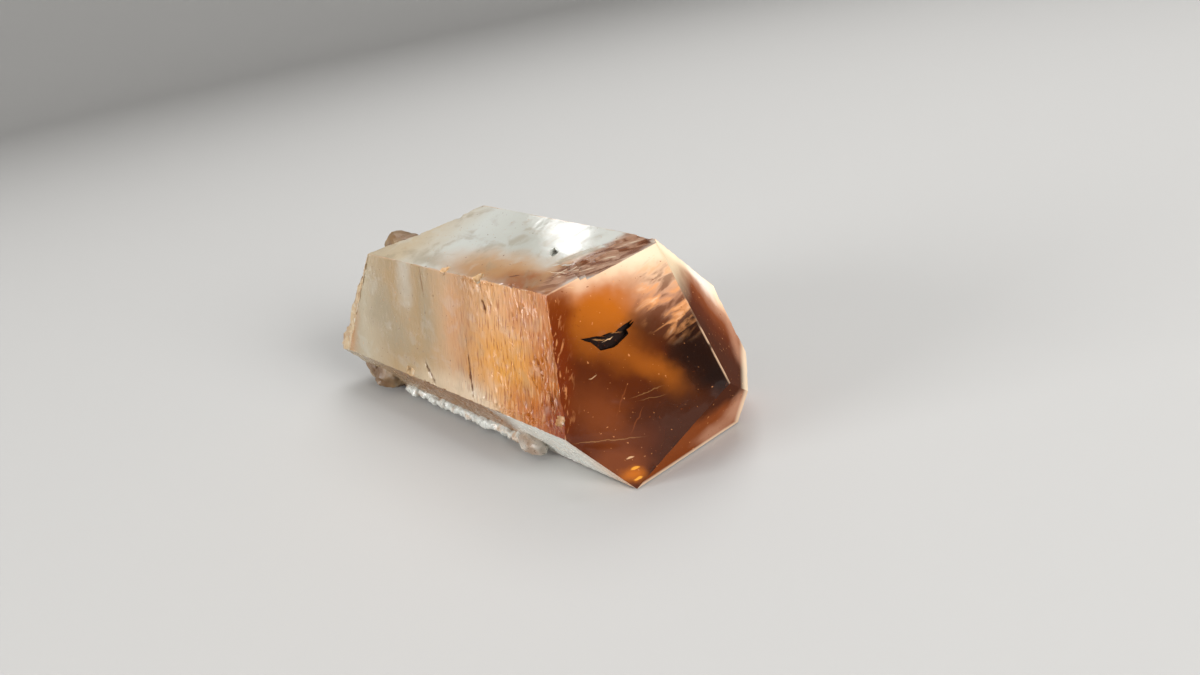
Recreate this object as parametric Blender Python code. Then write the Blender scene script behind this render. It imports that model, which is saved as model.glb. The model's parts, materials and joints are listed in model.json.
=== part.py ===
"""A natural quartz point with a broken end, lying on one of its six prism sides, tip towards +X."""

import math
import random

import bmesh
import bpy
from mathutils import Matrix, Vector, noise

MM = 0.001
SEED = 11
BLANK = 200.0  # side of the block that the flat faces are cut from, mm
CENTRING = Vector((1.405, -0.034, 0.0))  # brings the middle of the finished crystal over the origin

# All positions below are in the crystal's own frame, before the centring.
# Each flat face is (lean of its outward normal towards the tip, turn of the normal about the
# long axis from straight up towards +Y, distance from the origin), in degrees and mm.
PRISM_SIDES = {
    "striated": (0.0, -77.15, 14.63),
    "upper": (-0.4, -17.15, 24.45),
    "rear_upper": (2.4, 42.8, 20.81),
    "rear": (0.0, 89.4, 13.51),
    "resting": (0.0, 180.0, 0.0),
    "crusted": (0.1, -120.9, 7.96),
}
TIP_FACES = {
    "front_tip": (51.33, -65.93, 26.34),
    "upper_tip": (48.85, 58.72, 28.89),
    "lower_tip": (62.35, -173.84, 24.38),
    "rear_tip": (45.68, 116.05, 24.73),
}
ROUGH_BREAKS = {
    "main_break": (-49.7, 21.9, 27.4),
    "low_break": (-30.9, 175.0, 11.6),
    "top_break": (-39.2, 33.3, 23.6),
}
CORNER_CHIP = (-13.6, -69.1, 21.7)

# Grooves of the striated side: position along X, half width, depth, start and end across the
# side, and how far the groove leans towards the tip, degrees
STRIATIONS = [
    (-12.5, 0.35, 0.22, 9.0, 21.0, 2.0),
    (-7.0, 0.45, 0.30, 8.0, 21.0, 4.0),
    (-6.6, 0.50, 0.60, 3.8, 7.0, 38.0),
    (-2.0, 0.35, 0.22, 6.0, 17.0, 1.0),
    (3.1, 0.35, 0.50, 4.2, 10.4, 5.0),
    (7.0, 0.40, 0.45, 15.8, 17.6, 30.0),
    (4.6, 0.35, 0.24, 9.0, 21.0, 0.0),
    (6.8, 0.40, 0.28, 3.0, 18.0, 1.0),
    (8.7, 0.35, 0.24, 7.5, 21.0, -1.0),
    (10.4, 0.40, 0.28, 3.0, 15.0, 2.0),
    (12.2, 0.35, 0.24, 5.0, 21.0, 0.0),
    (13.9, 0.40, 0.28, 3.0, 17.5, -1.5),
    (15.6, 0.35, 0.24, 6.0, 21.0, 1.0),
    (17.4, 0.35, 0.22, 3.0, 13.0, 0.0),
]

# Grooves of the two rear sides, drawn in the same way
REAR_STRIATIONS = [
    ("rear", (-14.0, 0.40, 0.25, -15.0, -3.0, 1.0)),
    ("rear", (-3.0, 0.45, 0.28, -14.0, 0.0, -1.0)),
    ("rear", (6.0, 0.40, 0.25, -15.0, -6.0, 0.0)),
    ("rear", (13.0, 0.45, 0.30, -13.0, 0.0, 1.0)),
    ("rear", (19.0, 0.35, 0.22, -15.0, -4.0, 0.0)),
    ("rear_upper", (-2.0, 0.40, 0.25, -18.0, -6.0, 1.0)),
    ("rear_upper", (7.0, 0.45, 0.28, -12.0, 0.0, 0.0)),
    ("rear_upper", (14.0, 0.40, 0.25, -18.0, -4.0, -1.0)),
    ("upper", (1.0, 0.35, 0.18, -1.0, 7.0, 1.0)),
    ("upper", (-9.0, 0.35, 0.18, 2.0, 10.0, 0.0)),
]

# Outline of the jagged pit in the front tip face, towards the tip and across, mm
PIT_OUTLINE = [
    (1.61, 12.34), (2.86, 11.93), (3.78, 11.59), (4.81, 11.26), (5.73, 11.81), (6.52, 12.56),
    (6.90, 13.05), (7.26, 13.64), (7.49, 14.44), (7.82, 15.25), (7.58, 15.45), (6.97, 14.16),
    (6.13, 13.85), (5.11, 13.29), (4.05, 12.95), (2.98, 12.72),
]
PIT_DEPTH = 0.9
SMALL_PIT_OUTLINE = [(12.7, 4.1), (13.6, 3.1), (14.7, 2.9), (14.8, 4.1), (13.9, 4.3), (13.0, 4.8)]
SMALL_PIT_DEPTH = 0.6

# Ledges etched into the upper side beside the front tip face: outline and depth
LEDGES = [
    ([(15.6, 2.4), (17.3, 4.2), (19.8, 6.1), (21.8, 7.5), (24.4, 9.3), (28.0, 9.6), (24.0, 0.0)], 0.28),
    ([(18.3, 2.9), (20.3, 4.3), (22.4, 6.1), (24.9, 8.4), (28.5, 8.9), (24.5, 0.0)], 0.55),
]

# Small chips: centre and radius of the ball that takes each one out
CHIPS = [
    ((6.0, -9.95, 23.0), 1.0),
    ((-1.5, -9.90, 23.3), 1.1),
    ((12.6, -9.85, 23.2), 0.8),
    ((-7.6, -15.3, 10.2), 1.5),
    ((-12.0, -13.9, 7.6), 1.2),
    ((20.6, -13.6, 9.0), 0.9),
]

# The broken faces: height of their bumps, width of the bumps, and squares across each one
BREAK_RELIEF = 1.3
BREAK_GRAIN = 6.5
BREAK_SQUARES = 27
BREAK_SIZE = 76.0
BREAK_SPARE = 3.0

# The lumps' flat sides: how many, and how far out, in shares of the half size
LUMP_FLATS = 8
FLAT_AT = 0.82

# Lumps grown on the broken end: centre, half sizes, roughness
END_LUMPS = [
    ((-19.9, -4.9, 21.0), (3.9, 3.2, 3.3), 0.25),
    ((-16.6, -0.6, 19.6), (3.4, 3.2, 2.8), 0.25),
    ((-28.6, -9.3, 3.3), (3.6, 2.7, 2.9), 0.15),
    ((-25.2, -10.0, 2.6), (3.4, 2.9, 2.5), 0.15),
    ((-26.3, -2.4, 12.0), (3.4, 4.6, 2.6), 0.30),
]

# The sugary crust on the low side: from X, to X, number of grains, least and greatest radius
CRUST_FROM, CRUST_TO = -20.5, 9.5
CRUST_GRAINS = 34
CRUST_RADII = (0.9, 1.7)
CRUST_FLOOR = 0.12  # gap kept between the crust and the plane the crystal lies on
LEDGE_BLOCK = ((10.6, -10.9, 1.9), (3.2, 1.7, 1.6))


def clear_scene():
    """Removes whatever the scene starts with."""
    for thing in list(bpy.data.objects):
        bpy.data.objects.remove(thing, do_unlink=True)


def face_axes(face):
    """The outward normal of a flat face, its direction towards the tip, and its direction across."""
    lean, turn = math.radians(face[0]), math.radians(face[1])
    normal = Vector((math.sin(lean), math.cos(lean) * math.sin(turn), math.cos(lean) * math.cos(turn)))
    across = Vector((0.0, math.cos(turn), -math.sin(turn)))
    along = across.cross(normal)
    if along.x < 0:
        along = -along
    return normal, along, across


def object_from(name, mesh_builder):
    """A new object in the scene that holds the finished mesh builder."""
    bmesh.ops.recalc_face_normals(mesh_builder, faces=mesh_builder.faces)
    mesh = bpy.data.meshes.new(name)
    mesh_builder.to_mesh(mesh)
    mesh_builder.free()
    thing = bpy.data.objects.new(name, mesh)
    bpy.context.scene.collection.objects.link(thing)
    return thing


def combine(body, tool, operation):
    """Adds the tool to the body, or takes it out of it, and removes the tool."""
    modifier = body.modifiers.new(operation.lower(), "BOOLEAN")
    modifier.operation = operation
    modifier.solver = "EXACT"
    modifier.object = tool
    bpy.context.view_layer.objects.active = body
    bpy.ops.object.modifier_apply(modifier=modifier.name)
    bpy.data.objects.remove(tool, do_unlink=True)


def faceted_crystal():
    """The crystal's flat faces, cut one after another from a block."""
    builder = bmesh.new()
    bmesh.ops.create_cube(builder, size=BLANK * MM)
    spare = [(lean, turn, distance + BREAK_SPARE) for lean, turn, distance in ROUGH_BREAKS.values()]
    for face in [*PRISM_SIDES.values(), *TIP_FACES.values(), CORNER_CHIP, *spare]:
        normal = face_axes(face)[0]
        cut = bmesh.ops.bisect_plane(
            builder,
            geom=builder.verts[:] + builder.edges[:] + builder.faces[:],
            plane_co=normal * face[2] * MM,
            plane_no=normal,
            clear_outer=True,
        )
        rim = [item for item in cut["geom_cut"] if isinstance(item, bmesh.types.BMEdge)]
        bmesh.ops.contextual_create(builder, geom=rim)
    return object_from("quartz_crystal", builder)


def groove(face, position, half_width, depth, start, end, lean):
    """A V-shaped groove across a flat face."""
    normal, along, across = face_axes(face)
    middle = along * position + across * (start + end) / 2.0
    top = face[2] + 1.0
    spread = half_width * (depth + 1.0) / depth
    corners = [(position - spread, top), (position + spread, top), (position, face[2] - depth)]
    builder = bmesh.new()
    section = [builder.verts.new((along * a + normal * h + across * start) * MM) for a, h in corners]
    bmesh.ops.contextual_create(builder, geom=section)
    made = bmesh.ops.extrude_face_region(builder, geom=builder.faces[:])
    moved = [item for item in made["geom"] if isinstance(item, bmesh.types.BMVert)]
    bmesh.ops.translate(builder, verts=moved, vec=across * (end - start) * MM)
    turn = Matrix.Rotation(math.radians(lean), 3, normal)
    bmesh.ops.rotate(builder, verts=builder.verts, cent=middle * MM, matrix=turn)
    return object_from("groove", builder)


def recess(face, outline, depth, draft=1.0):
    """A flat-bottomed recess with the given outline, its floor drawn in by the draft."""
    normal, along, across = face_axes(face)
    centre_a = sum(a for a, _ in outline) / len(outline)
    centre_b = sum(b for _, b in outline) / len(outline)
    builder = bmesh.new()
    floor = []
    for a, b in outline:
        a = centre_a + (a - centre_a) * draft
        b = centre_b + (b - centre_b) * draft
        floor.append(builder.verts.new((along * a + across * b + normal * (face[2] - depth)) * MM))
    bmesh.ops.contextual_create(builder, geom=floor)
    made = bmesh.ops.extrude_face_region(builder, geom=builder.faces[:])
    moved = [item for item in made["geom"] if isinstance(item, bmesh.types.BMVert)]
    bmesh.ops.translate(builder, verts=moved, vec=normal * (depth + 1.0) * MM)
    return object_from("recess", builder)


def rough_break(face, seed):
    """A block with an uneven, stepped underside that breaks off everything beyond a plane."""
    normal, along, across = face_axes(face)
    builder = bmesh.new()
    bmesh.ops.create_grid(
        builder,
        x_segments=BREAK_SQUARES,
        y_segments=BREAK_SQUARES,
        size=BREAK_SIZE / 2.0,
    )
    shift = Vector((seed * 5.3, seed * 2.9, seed * 1.3))
    for vertex in builder.verts:
        spot = vertex.co / BREAK_GRAIN + shift
        ridges = abs(noise.noise(spot)) - 0.25
        steps = noise.noise(spot * 2.3 + shift)
        vertex.co.z = BREAK_RELIEF * (1.5 * ridges + 0.45 * steps)
    made = bmesh.ops.extrude_face_region(builder, geom=builder.faces[:])
    moved = [item for item in made["geom"] if isinstance(item, bmesh.types.BMVert)]
    for vertex in moved:
        vertex.co.z = BREAK_SIZE / 2.0
    frame = Matrix((along, across, normal)).transposed().to_4x4()
    frame.translation = normal * face[2]
    bmesh.ops.transform(builder, matrix=frame, verts=builder.verts)
    bmesh.ops.scale(builder, vec=(MM, MM, MM), verts=builder.verts)
    return object_from("rough_break", builder)


def flat_direction(seed, index):
    """One of a lump's flat sides, spread evenly and turned by the seed."""
    height = math.cos(index * 1.9 + seed)
    turn = index * 2.4 + seed * 1.3
    level = math.sqrt(1.0 - height * height)
    return Vector((level * math.cos(turn), level * math.sin(turn), height))


def lump(centre, sizes, roughness, divisions, seed, flats=0):
    """A knobbly lump with the given half sizes, and with flat sides if any are asked for."""
    builder = bmesh.new()
    bmesh.ops.create_icosphere(builder, subdivisions=divisions, radius=1.0)
    for vertex in builder.verts:
        direction = vertex.co.normalized()
        swell = 1.0 + roughness * noise.noise(direction * 1.7 + Vector((seed * 3.1, seed * 1.7, 0.5)))
        vertex.co = direction * swell
    for index in range(flats):
        outward = flat_direction(seed, index)
        for vertex in builder.verts:
            vertex.co -= outward * max(0.0, vertex.co.dot(outward) - FLAT_AT)
    turn = Matrix.Rotation(seed * 2.4, 4, Vector((1.0, 0.7, 0.4)))
    bmesh.ops.transform(builder, matrix=Matrix.Diagonal((*sizes, 1.0)) @ turn, verts=builder.verts)
    bmesh.ops.transform(builder, matrix=Matrix.Translation(centre), verts=builder.verts)
    bmesh.ops.scale(builder, vec=(MM, MM, MM), verts=builder.verts)
    return object_from("lump", builder)


def break_off(body):
    """Breaks the end off along three uneven faces."""
    for seed, face in enumerate(ROUGH_BREAKS.values()):
        combine(body, rough_break(face, seed + 1), "DIFFERENCE")


def carve(body):
    """Cuts the grooves, pits, ledges and chips."""
    for values in STRIATIONS:
        combine(body, groove(PRISM_SIDES["striated"], *values), "DIFFERENCE")
    for side, values in REAR_STRIATIONS:
        combine(body, groove(PRISM_SIDES[side], *values), "DIFFERENCE")
    for outline, depth in LEDGES:
        combine(body, recess(PRISM_SIDES["upper"], outline, depth), "DIFFERENCE")
    combine(body, recess(TIP_FACES["front_tip"], PIT_OUTLINE, PIT_DEPTH, 0.9), "DIFFERENCE")
    combine(body, recess(PRISM_SIDES["upper"], SMALL_PIT_OUTLINE, SMALL_PIT_DEPTH, 0.8), "DIFFERENCE")
    for seed, (centre, radius) in enumerate(CHIPS):
        combine(body, lump(centre, (radius, radius, radius), 0.4, 2, seed), "DIFFERENCE")


def add_end_lumps(body):
    """Fuses the brown lumps to the broken end."""
    for seed, (centre, sizes, roughness) in enumerate(END_LUMPS):
        combine(body, lump(centre, sizes, roughness, 2, seed + 20, LUMP_FLATS), "UNION")


def add_crust(body):
    """Fuses the sugary crust and its ledge to the lower front edge."""
    rng = random.Random(SEED)
    normal, along, across = face_axes(PRISM_SIDES["crusted"])
    foot = normal * PRISM_SIDES["crusted"][2]
    edge = -foot.z / across.z
    for index in range(CRUST_GRAINS):
        share = (index + rng.uniform(0.0, 0.6)) / CRUST_GRAINS
        radius = rng.uniform(*CRUST_RADII)
        middle = foot + along * (CRUST_FROM + (CRUST_TO - CRUST_FROM) * share)
        middle += across * edge
        rise = radius * rng.uniform(0.75, 1.3)
        middle -= across * rise * math.copysign(1.0, -across.z)
        middle += normal * rng.uniform(0.15, 0.45) * radius
        middle.z = max(middle.z, radius * 1.08 + CRUST_FLOOR)
        combine(body, lump(middle, (radius, radius, radius), 0.15, 1, index + 40), "UNION")
    centre, sizes = LEDGE_BLOCK
    combine(body, lump(centre, sizes, 0.2, 2, 7, LUMP_FLATS), "UNION")


def finish(body):
    """Tidies the mesh, centres it and shades its faces flat."""
    builder = bmesh.new()
    builder.from_mesh(body.data)
    bmesh.ops.remove_doubles(builder, verts=builder.verts, dist=1e-6)
    bmesh.ops.triangulate(builder, faces=builder.faces)
    bmesh.ops.translate(builder, verts=builder.verts, vec=CENTRING * MM)
    builder.to_mesh(body.data)
    builder.free()
    body.data.polygons.foreach_set("use_smooth", [False] * len(body.data.polygons))
    body.data.update()


clear_scene()
crystal = faceted_crystal()
break_off(crystal)
carve(crystal)
add_end_lumps(crystal)
add_crust(crystal)
finish(crystal)
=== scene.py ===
"""A natural smoky quartz point with a broken end, lying on one of its six prism sides."""

import json
import math
import random

import bmesh
import bpy
import numpy as np
from mathutils import Matrix, Vector, noise

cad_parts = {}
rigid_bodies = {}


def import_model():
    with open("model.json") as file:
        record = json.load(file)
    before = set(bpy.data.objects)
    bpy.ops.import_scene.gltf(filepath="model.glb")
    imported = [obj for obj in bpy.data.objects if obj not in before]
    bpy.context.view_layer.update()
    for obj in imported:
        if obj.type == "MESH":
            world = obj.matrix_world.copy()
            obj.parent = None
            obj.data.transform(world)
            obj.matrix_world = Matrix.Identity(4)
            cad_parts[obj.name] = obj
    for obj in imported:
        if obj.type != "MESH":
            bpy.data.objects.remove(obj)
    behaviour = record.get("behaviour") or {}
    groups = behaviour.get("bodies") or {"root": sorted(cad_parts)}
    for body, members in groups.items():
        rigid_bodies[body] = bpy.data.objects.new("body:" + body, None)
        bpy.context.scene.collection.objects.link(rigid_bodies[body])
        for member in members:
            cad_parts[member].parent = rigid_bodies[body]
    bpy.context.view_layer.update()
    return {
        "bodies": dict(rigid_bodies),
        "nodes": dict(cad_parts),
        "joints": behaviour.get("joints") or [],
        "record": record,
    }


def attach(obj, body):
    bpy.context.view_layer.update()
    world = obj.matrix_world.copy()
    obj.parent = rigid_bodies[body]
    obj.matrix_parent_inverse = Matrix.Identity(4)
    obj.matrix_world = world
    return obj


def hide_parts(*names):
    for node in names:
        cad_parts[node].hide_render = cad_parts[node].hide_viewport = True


MM = 0.001
BLANK = 200.0  # side of the block that the flat faces are cut from, mm
CENTRING = Vector((1.405, -0.034, 0.0))  # from the crystal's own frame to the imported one, mm

# Each flat face is (lean of its outward normal towards the tip, turn of the normal about the
# long axis from straight up towards +Y, distance from the origin), in degrees and mm. The broken
# faces and the chipped corner are given the same way.
FACES = {
    "striated": (0.0, -77.15, 14.63),
    "upper": (-0.4, -17.15, 24.45),
    "rear_upper": (2.4, 42.8, 20.81),
    "rear": (0.0, 89.4, 13.51),
    "resting": (0.0, 180.0, 0.0),
    "crusted": (0.1, -120.9, 7.96),
    "front_tip": (51.33, -65.93, 26.34),
    "upper_tip": (48.85, 58.72, 28.89),
    "lower_tip": (62.35, -173.84, 24.38),
    "rear_tip": (45.68, 116.05, 24.73),
}
ROUGH_BREAKS = {
    "main_break": (-49.7, 21.9, 27.4),
    "low_break": (-30.9, 175.0, 11.6),
    "top_break": (-39.2, 33.3, 23.6),
}
CORNER_CHIP = (-13.6, -69.1, 21.7)
LOOKS = [*FACES, "broken", "pit"]  # one material for each, in this order
STRIATED_FACES = ("striated", "rear_upper", "rear", "crusted")
ON_FACE, SAME_WAY = 0.02, 0.99  # how near a flat face lies to its plane, mm, and to its normal

# The broken faces: height and width of their bumps, squares across each one and its size, and
# how far beyond each one the block is cut first
BREAK_RELIEF, BREAK_GRAIN = 1.3, 6.5
BREAK_SQUARES, BREAK_SIZE, BREAK_SPARE = 81, 76.0, 3.0
# Their ridges and steps, as shares of the relief, and how far each break moves through the noise
RIDGES, RIDGE_LEVEL, STEPS, STEP_FINENESS = 1.5, 0.25, 0.25, 2.3
BREAK_SHIFT = (5.3, 2.9, 1.3)

# Outline of the jagged pit in the front tip face, towards the tip and across, mm
PIT_OUTLINE = [
    (1.61, 12.34), (2.86, 11.93), (3.78, 11.59), (4.81, 11.26), (5.73, 11.81), (6.52, 12.56),
    (6.90, 13.05), (7.26, 13.64), (7.49, 14.44), (7.82, 15.25), (7.58, 15.45), (6.97, 14.16),
    (6.13, 13.85), (5.11, 13.29), (4.05, 12.95), (2.98, 12.72),
]
PIT_DEPTH, PIT_DRAFT, PIT_TEETH = 0.9, 0.9, 5  # draft is the floor's share of the outline
# The part of the face that may look like the pit, mm
PIT_MIDDLE, PIT_REACH, PIT_DEEP = (5.0, 13.0), 5.0, 0.99
SMALL_PIT_OUTLINE = [(12.7, 4.1), (13.6, 3.1), (14.7, 2.9), (14.8, 4.1), (13.9, 4.3), (13.0, 4.8)]
SMALL_PIT_DEPTH, SMALL_PIT_DRAFT = 0.6, 0.8

# Ledges etched into the upper side beside the front tip face: outline and depth
LEDGES = [
    ([(15.6, 2.4), (17.3, 4.2), (19.8, 6.1), (21.8, 7.5), (24.4, 9.3), (28.0, 9.6), (24.0, 0.0)], 0.28),
    ([(18.3, 2.9), (20.3, 4.3), (22.4, 6.1), (24.9, 8.4), (28.5, 8.9), (24.5, 0.0)], 0.55),
]
LEDGES_FROM, LEDGES_DEEP = 10.0, 1.0  # where the ledges begin, and deeper than any of them
RECESS_SPARE = 1.0  # how far the cutter of a ledge or pit stands out of its face, mm
JAG_STEP, JAG_SIZE, JAG_GRAIN = 0.7, 0.44, 1.9  # the teeth of an etched outline, mm and per mm

# Small chips: centre and radius of the ball that takes each one out
CHIPS = [
    ((6.0, -9.95, 23.0), 1.0), ((-1.5, -9.90, 23.3), 1.1), ((12.6, -9.85, 23.2), 0.8),
    ((-7.6, -15.3, 10.2), 1.5), ((-12.0, -13.9, 7.6), 1.2), ((20.6, -13.6, 9.0), 0.9),
]
CHIP_ROUGHNESS = 0.4

# A lump is a bumpy ball with flat sides: how many, how far out, and how they and the ball turn
LUMP_FLATS, FLAT_AT, LUMP_DIVISIONS = 8, 0.82, 3
FLAT_LEVELS, FLAT_TURNS, FLAT_SHIFT = 1.9, 2.4, 1.3
LUMP_GRAIN, LUMP_SHIFT = 1.7, (3.1, 1.7)
LUMP_TURN, LUMP_AXIS = 2.4, Vector((1.0, 0.7, 0.4))
# Lumps grown on the broken end: centre, half sizes, roughness
END_LUMP_SEED = 20
END_LUMPS = [
    ((-19.9, -4.9, 21.0), (3.9, 3.2, 3.3), 0.25), ((-16.6, -0.6, 19.6), (3.4, 3.2, 2.8), 0.25),
    ((-28.6, -9.3, 3.3), (3.6, 2.7, 2.9), 0.15), ((-25.2, -10.0, 2.6), (3.4, 2.9, 2.5), 0.15),
    ((-26.3, -2.4, 12.0), (3.4, 4.6, 2.6), 0.30),
]

# The sugary crust along the lower front edge: how its lumps and grains lie, mm, and are shaped,
# in radii
CRUST_SEED, CRUST_FLATS = 11, 6
CRUST_FROM, CRUST_TO = -20.5, 9.5
CRUST_LUMPS, LUMP_RADII = 64, (0.55, 1.05)
CRUST_GRAINS, GRAIN_RADII = 520, (0.22, 0.5)
CRUST_WAVES = 0.35  # waves of its swelling per mm
CRUST_UP, CRUST_OUT = (0.8, 1.2), (0.2, 0.6)  # from the edge to the middles, in radii
LOOSE_UP, LOOSE_OUT, LOOSE_SUNK = (0.6, 1.3), (0.1, 0.9), 0.4  # how far grains stray, mm
LUMP_UNEVEN, LUMP_LENGTHS, LUMP_THIN = 0.3, (1.0, 1.6), 0.88
GRAIN_SHAPE = (1.0, 0.8, 0.9)
LUMP_LOOK, GRAIN_LOOK, BLOCK_LOOK = (0.5, 2), (0.3, 1), (0.2, 3)  # roughness and divisions
LUMP_SEED, GRAIN_SEED, BLOCK_SEED = 40, 90, 7
CRUST_CLEAR, CRUST_FLOOR = 1.08, 0.12  # how high a ball's middle stays over the floor
CRUST_VOXEL = 0.14
LEDGE_BLOCK = ((10.9, -10.9, 1.8), (2.6, 1.3, 1.5))

# Longest edge of the finished mesh on each kind of face, towards the tip and across, mm
FINENESS = {"striated": (0.2, 0.8), "rear": (0.4, 1.2), "rear_upper": (0.4, 1.2), "crusted": (0.4, 0.8)}
PLAIN_FINENESS = (0.8, 0.8)
BROKEN_FINENESS, EDGE_FINENESS = 0.45, 0.35
REFINE_ROUNDS, TOO_LONG = 12, 1.35
WELD = 0.002  # points closer than this become one, mm
CRYSTAL_SHARP, CRUST_SHARP = 28.0, 35.0  # edges sharper than this are shaded sharp, degrees

# Cracks in the striated side: start and end, half width and depth
CRACKS = [
    ((6.6, 17.4), (7.5, 15.9), 0.22, 0.35), ((-7.7, 6.5), (-5.5, 4.0), 0.30, 0.45),
    ((2.8, 10.2), (3.5, 4.3), 0.20, 0.40), ((2.6, 12.6), (2.8, 10.9), 0.14, 0.20),
]
# Scratches and growth lines on the front tip face
SCRATCHES = [
    ((3.0, 0.6), (10.6, 2.3), 0.16, 0.07), ((8.1, 6.6), (11.9, 8.3), 0.12, 0.06),
    ((6.9, 4.0), (7.6, 8.2), 0.12, 0.06), ((8.6, 2.1), (9.9, 6.0), 0.12, 0.05),
]
OVERRUN, TAPER = 0.1, 0.25  # of a crack's or scratch's length, past its ends and within them
WANDER, WANDER_GRAIN = 0.25, 1.7

# Striae, in two layers: waves per mm both ways, seed, width, depth
STRIAE_LAYERS = [(1.5, 0.34, 0.0, 0.22, 0.13), (3.6, 0.85, 4.0, 0.25, 0.10)]
# What bends them and what leaves patches of them out: waves per mm both ways, and seed
STRIAE_WARP, STRIAE_PATCH = (0.6, 0.25, 9.0), (0.25, 0.18, 7.0)
WARP_SIZE, PATCH_EDGE, LEAST_PATCH = 0.35, 0.25, 0.35
# They deepen towards the tip on the striated side, and are fainter elsewhere
STRIAE_BEGIN, STRIAE_FULL, LEAST_STRIAE, FAINT_STRIAE = -3.0, 10.0, 0.10, 0.55
# A low growth step on the striated side: where it ends both ways, how it waves, and depth
STEP_END, STEP_ACROSS, STEP_WAVE, STEP_DEPTH = (-8.2, -6.8), (8.0, 12.0), 0.5, 0.096
# The striated sliver's grooves on the front tip face: middle, half sizes, fading edge, depth
GROOVED, GROOVED_SIZE, GROOVED_EDGE, GROOVED_DEPTH = (0.2, 9.0), (1.4, 7.0), (0.8, 1.1), 0.7
SWELL_SIZE, SWELL_WAVES, FRONT_SWELL = 0.05, 0.16, 0.4  # how uneven the smooth faces are
# Bumps, finer bumps and creases of the broken end: height and waves per mm
BUMPS, FINE_BUMPS, CREASES = (0.22, 0.9), (0.12, 2.1), (0.18, 0.5)
# Nicks along the edges: greatest depth, and waves per mm, level and share of each layer
TIP_NICK, PLAIN_NICK = 0.10, 0.34
NICK_LAYERS = [(0.8, 0.05, 1.0), (2.6, 0.1, 0.4)]
EDGE_SHARE = 0.3  # how much of the broken end's bumps its edges with flat faces keep
STEADYING = 0.05  # keeps a point on an edge from moving far along it

# The camera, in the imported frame: place in mm, its own directions, lens and sensor in mm
CAMERA_AT = Vector((92.225, -59.914, 55.28))
CAMERA_RIGHT = Vector((0.6687, 0.7195, -0.1876))
CAMERA_UP = Vector((-0.1865, 0.4065, 0.8944))
CAMERA_BACK = Vector((0.7198, -0.5631, 0.4060))
CAMERA_LENS, SENSOR, CLIP_START = 25.98, 36.0, 0.005


def smooth(value, low, high):
    """0 below low, 1 above high, and an even curve between them."""
    share = min(1.0, max(0.0, (value - low) / (high - low)))
    return share * share * (3.0 - 2.0 * share)


def face_axes(face):
    """The outward normal of a flat face, its direction towards the tip, and its direction across."""
    lean, turn = math.radians(face[0]), math.radians(face[1])
    normal = Vector((math.sin(lean), math.cos(lean) * math.sin(turn), math.cos(lean) * math.cos(turn)))
    across = Vector((0.0, math.cos(turn), -math.sin(turn)))
    along = across.cross(normal)
    if along.x < 0:
        along = -along
    return normal, along, across


AXES = {name: face_axes(face) for name, face in FACES.items()}


def object_from(name, builder):
    """A new object in the scene that holds the finished mesh builder."""
    bmesh.ops.recalc_face_normals(builder, faces=builder.faces)
    mesh = bpy.data.meshes.new(name)
    builder.to_mesh(mesh)
    builder.free()
    thing = bpy.data.objects.new(name, mesh)
    bpy.context.scene.collection.objects.link(thing)
    return thing


def apply(thing, modifier):
    """Makes a modifier's result the object's mesh."""
    bpy.context.view_layer.objects.active = thing
    bpy.ops.object.modifier_apply(modifier=modifier.name)


def combine(body, tool, operation):
    """Adds the tool to the body, or takes it out of it, and removes the tool."""
    modifier = body.modifiers.new(operation.lower(), "BOOLEAN")
    modifier.operation = operation
    modifier.solver = "EXACT"
    modifier.object = tool
    apply(body, modifier)
    bpy.data.objects.remove(tool, do_unlink=True)


def faceted_crystal():
    """The crystal's flat faces, cut one after another from a block."""
    builder = bmesh.new()
    bmesh.ops.create_cube(builder, size=BLANK)
    spare = [(lean, turn, distance + BREAK_SPARE) for lean, turn, distance in ROUGH_BREAKS.values()]
    for face in [*FACES.values(), CORNER_CHIP, *spare]:
        normal = face_axes(face)[0]
        cut = bmesh.ops.bisect_plane(
            builder,
            geom=builder.verts[:] + builder.edges[:] + builder.faces[:],
            plane_co=normal * face[2],
            plane_no=normal,
            clear_outer=True,
        )
        rim = [item for item in cut["geom_cut"] if isinstance(item, bmesh.types.BMEdge)]
        bmesh.ops.contextual_create(builder, geom=rim)
    return object_from("quartz_surface", builder)


def jagged(outline, seed):
    """The outline with small irregular teeth."""
    points = []
    for index, start in enumerate(outline):
        end = outline[(index + 1) % len(outline)]
        run = Vector(end) - Vector(start)
        steps = max(1, round(run.length / JAG_STEP))
        side = Vector((-run.y, run.x)).normalized()
        for step in range(steps):
            spot = Vector(start) + run * (step / steps)
            wobble = noise.noise(Vector((spot.x * JAG_GRAIN, spot.y * JAG_GRAIN, seed)))
            points.append(spot + side * wobble * JAG_SIZE)
    return points


def recess(face, outline, depth, draft):
    """A flat-bottomed recess with the given outline, its floor drawn in by the draft."""
    normal, along, across = face_axes(face)
    centre_a = sum(a for a, _ in outline) / len(outline)
    centre_b = sum(b for _, b in outline) / len(outline)
    builder = bmesh.new()
    floor = []
    for a, b in outline:
        a = centre_a + (a - centre_a) * draft
        b = centre_b + (b - centre_b) * draft
        floor.append(builder.verts.new(along * a + across * b + normal * (face[2] - depth)))
    bmesh.ops.contextual_create(builder, geom=floor)
    made = bmesh.ops.extrude_face_region(builder, geom=builder.faces[:])
    moved = [item for item in made["geom"] if isinstance(item, bmesh.types.BMVert)]
    bmesh.ops.translate(builder, verts=moved, vec=normal * (depth + RECESS_SPARE))
    return object_from("recess", builder)


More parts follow.
